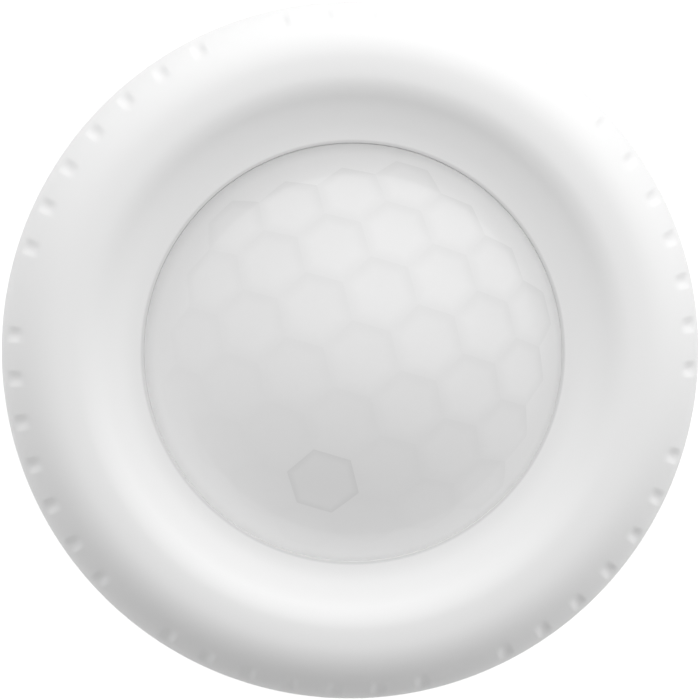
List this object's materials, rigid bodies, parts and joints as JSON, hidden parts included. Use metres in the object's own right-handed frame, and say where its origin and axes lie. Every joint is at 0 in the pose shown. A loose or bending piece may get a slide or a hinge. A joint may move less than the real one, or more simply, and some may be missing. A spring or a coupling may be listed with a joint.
{
  "type": "high bay pir sensor",
  "caption": "Round flush ceiling motion sensor for high rooms: notched twist-off ring, translucent faceted dome lens, spring clips and rear terminals under a hinged cover.",
  "frame": {"origin": "centre of the round ceiling cut-out, at the face of the ceiling where the flange seats", "axes": "+Z points out of the ceiling into the room along the lens axis, +Y is the hinge side of the terminal cover and is up in the picture, and the spring clips lie on +X and -X"},
  "size_m": [0.08, 0.08, 0.0864],
  "materials": {
    "ring_plastic": "satin moulded white",
    "lens": "translucent white polyethylene, soft satin",
    "housing_plastic": "fine spark texture",
    "frame_plastic": "satin moulded white",
    "seal_rubber": "black silicone",
    "gasket_foam": "closed-cell foam",
    "pad_rubber": "soft black sleeve",
    "zinc_steel": "zinc plated",
    "spring_steel": "tempered spring steel",
    "sensor_metal": "nickel plated can",
    "sensor_window": "dark infrared filter",
    "sensor_clear": "tinted clear package",
    "lamp_red": "diffused red",
    "board_green": "solder mask",
    "black_plastic": "moulded",
    "capacitor_sleeve": "shrink sleeve",
    "film_yellow": "epoxy filled box",
    "choke_black": "shrink sleeve over ferrite",
    "fuse_brown": "moulded",
    "ribbon_grey": "flat cable insulation",
    "trimmer_blue": "moulded",
    "terminal_grey": "glass-filled polyamide",
    "tinned_brass": "tinned",
    "clamp_plastic": "moulded white",
    "dial_plastic": "moulded",
    "button_orange": "moulded"
  },
  "bodies": {
    "base": {"lens_dome": "lens", "lens_seal": "seal_rubber", "lens_retainer": "frame_plastic", "retainer_screws": "zinc_steel", "inner_frame": "frame_plastic", "sensor_board": "board_green", "sensor_board_screws": "zinc_steel", "pyro_spacer": "black_plastic", "pyro_sensor": "sensor_metal", "pyro_window": "sensor_window", "light_sensor": "sensor_clear", "status_lamp": "lamp_red", "housing": "housing_plastic", "ceiling_gasket": "gasket_foam", "clip_pin_right": "zinc_steel", "clip_pin_left": "zinc_steel", "clip_spring_right": "spring_steel", "clip_spring_left": "spring_steel", "power_board": "board_green", "power_board_screws": "zinc_steel", "relay": "black_plastic", "bulk_capacitor": "capacitor_sleeve", "film_capacitor": "film_yellow", "choke": "choke_black", "fuse": "fuse_brown", "ribbon": "ribbon_grey", "trimmers": "trimmer_blue", "rear_cover": "housing_plastic", "rear_cover_screws": "zinc_steel", "terminal_block": "terminal_grey", "terminal_pins": "tinned_brass", "cable_clamp": "clamp_plastic", "clamp_screws": "zinc_steel", "cover_hinge_pin": "zinc_steel"},
    "ring": {"fascia_ring": "ring_plastic"},
    "right_clip": {"clip_arm_right": "spring_steel", "clip_pad_right": "pad_rubber"},
    "left_clip": {"clip_arm_left": "spring_steel", "clip_pad_left": "pad_rubber"},
    "time_setting": {"time_dial": "dial_plastic"},
    "light_setting": {"light_dial": "dial_plastic"},
    "lid": {"terminal_cover": "housing_plastic"},
    "button_1": {"release_button_1": "button_orange"},
    "button_2": {"release_button_2": "button_orange"},
    "button_3": {"release_button_3": "button_orange"},
    "button_4": {"release_button_4": "button_orange"},
    "button_5": {"release_button_5": "button_orange"}
  },
  "joints": [
    {"name": "ring_twist", "type": "hinge", "parent": "base", "child": "ring", "pos_m": [0, 0, 0.005], "axis": [0, 0, 1], "range_deg": [0, 22]},
    {"name": "right_clip_fold", "type": "hinge", "parent": "base", "child": "right_clip", "pos_m": [0.0318, 0, -0.024], "axis": [0, 1, 0], "range_deg": [0, 165], "stiffness_Nm_per_rad": 0.05, "springref_deg": -22.92},
    {"name": "left_clip_fold", "type": "hinge", "parent": "base", "child": "left_clip", "pos_m": [-0.0318, 0, -0.024], "axis": [0, -1, 0], "range_deg": [0, 165], "stiffness_Nm_per_rad": 0.05, "springref_deg": -22.92},
    {"name": "lid_hinge", "type": "hinge", "parent": "base", "child": "lid", "pos_m": [0, 0.0219, -0.0425], "axis": [1, 0, 0], "range_deg": [0, 105]},
    {"name": "time_dial_turn", "type": "hinge", "parent": "base", "child": "time_setting", "pos_m": [-0.0178, 0.008, -0.04], "axis": [0, 0, 1], "range_deg": [-135, 135]},
    {"name": "light_dial_turn", "type": "hinge", "parent": "base", "child": "light_setting", "pos_m": [0.0178, 0.008, -0.04], "axis": [0, 0, 1], "range_deg": [-135, 135]},
    {"name": "button_1_press", "type": "slide", "parent": "base", "child": "button_1", "axis": [0, 0, 1], "range_m": [0, 0.0009], "stiffness_N_per_m": 600, "springref_m": -0.0005},
    {"name": "button_2_press", "type": "slide", "parent": "base", "child": "button_2", "axis": [0, 0, 1], "range_m": [0, 0.0009], "stiffness_N_per_m": 600, "springref_m": -0.0005},
    {"name": "button_3_press", "type": "slide", "parent": "base", "child": "button_3", "axis": [0, 0, 1], "range_m": [0, 0.0009], "stiffness_N_per_m": 600, "springref_m": -0.0005},
    {"name": "button_4_press", "type": "slide", "parent": "base", "child": "button_4", "axis": [0, 0, 1], "range_m": [0, 0.0009], "stiffness_N_per_m": 600, "springref_m": -0.0005},
    {"name": "button_5_press", "type": "slide", "parent": "base", "child": "button_5", "axis": [0, 0, 1], "range_m": [0, 0.0009], "stiffness_N_per_m": 600, "springref_m": -0.0005}
  ]
}
